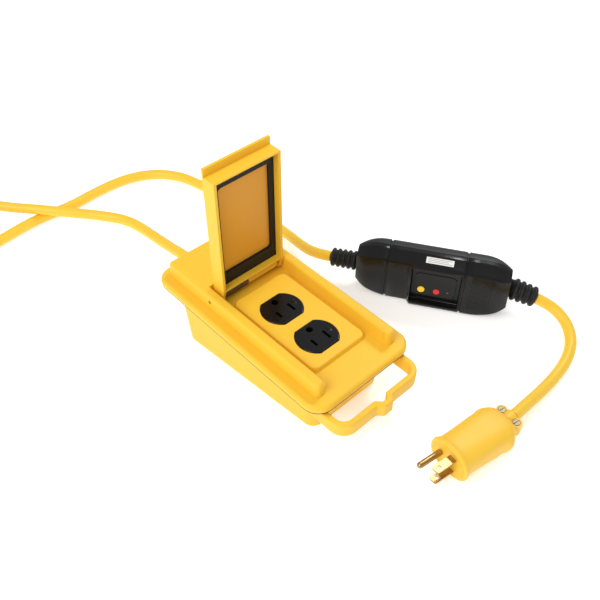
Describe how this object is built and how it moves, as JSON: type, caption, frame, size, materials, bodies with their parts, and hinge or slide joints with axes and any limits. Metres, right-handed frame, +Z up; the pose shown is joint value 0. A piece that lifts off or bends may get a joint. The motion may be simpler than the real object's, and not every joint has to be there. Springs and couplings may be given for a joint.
{
  "type": "portable power distribution box",
  "caption": "Portable power distribution box with a hinged weather lid over a duplex outlet, strap handle, inline ground-fault module and corded plug.",
  "frame": {"origin": "on the floor, at the flat underside of the tub, below the middle of the cover's width and half way between the two outlets", "axes": "+Z up; +Y towards the end where the cord leaves the box; +X to the right seen from the handle end"},
  "size_m": [0.4056, 0.5624, 0.1735],
  "materials": {
    "yellow_shell": "satin moulded thermoplastic",
    "amber_panel": "glossy",
    "black_rubber": "matt",
    "black_moulding": "satin",
    "grey_moulding": "fine texture",
    "yellow_cap": "gloss",
    "red_cap": "gloss",
    "clear_lens": "clear",
    "green_board": "lacquered",
    "stainless": "brushed",
    "brass_metal": "bright",
    "green_metal": "gloss",
    "copper_winding": "enamelled",
    "yellow_jacket": "satin",
    "yellow_collar": "satin",
    "lead_black": "satin",
    "lead_white": "satin",
    "lead_green": "satin"
  },
  "bodies": {
    "box": {"base_tub": "yellow_shell", "blade_hot": "brass_metal", "blade_neutral": "brass_metal", "box_strain_relief": "black_rubber", "button_leaves": "brass_metal", "circuit_board": "green_board", "clamp_screws": "stainless", "contact_ground": "brass_metal", "contact_hot": "brass_metal", "contact_neutral": "brass_metal", "cord_box_end": "yellow_jacket", "cord_box_side": "yellow_jacket", "cord_clamp": "stainless", "cord_coil": "yellow_jacket", "cord_gfci_side": "yellow_jacket", "cord_plug_side": "yellow_jacket", "cover": "yellow_shell", "cover_screws": "stainless", "cover_seal": "black_rubber", "gfci_front_housing": "black_moulding", "gfci_panel": "grey_moulding", "gfci_rear_housing": "grey_moulding", "gfci_screws": "stainless", "ground_pin": "brass_metal", "ground_screw": "green_metal", "hinge_pin": "stainless", "indicator_lens": "clear_lens", "lead_ground": "lead_green", "lead_hot": "lead_black", "lead_neutral": "lead_white", "plug_body": "yellow_shell", "plug_clamp": "yellow_collar", "plug_clamp_screws": "stainless", "receptacle_body": "black_moulding", "receptacle_face": "black_moulding", "receptacle_yoke": "stainless", "sensing_coil": "stainless", "strain_relief_line": "black_rubber", "strain_relief_load": "black_rubber", "terminal_screws_hot": "brass_metal", "terminal_screws_neutral": "stainless", "trip_solenoid": "copper_winding", "yoke_screws": "stainless"},
    "lid": {"lid": "yellow_shell", "lid_gasket": "black_rubber", "lid_panel": "amber_panel", "lid_spring": "stainless"},
    "yellow_button": {"yellow_button": "yellow_cap"},
    "red_button": {"red_button": "red_cap"}
  },
  "joints": [
    {"name": "lid_hinge", "type": "hinge", "parent": "box", "child": "lid", "pos_m": [0, 0.0605, 0.0575], "axis": [1, 0, 0], "range_deg": [0, 90]},
    {"name": "yellow_button_push", "type": "slide", "parent": "box", "child": "yellow_button", "axis": [0.8434, 0.5373, 0], "range_m": [0, 0.0012], "stiffness_N_per_m": 400, "springref_m": -0.0005},
    {"name": "red_button_push", "type": "slide", "parent": "box", "child": "red_button", "axis": [0.8434, 0.5373, 0], "range_m": [0, 0.0012], "stiffness_N_per_m": 400, "springref_m": -0.0005}
  ]
}
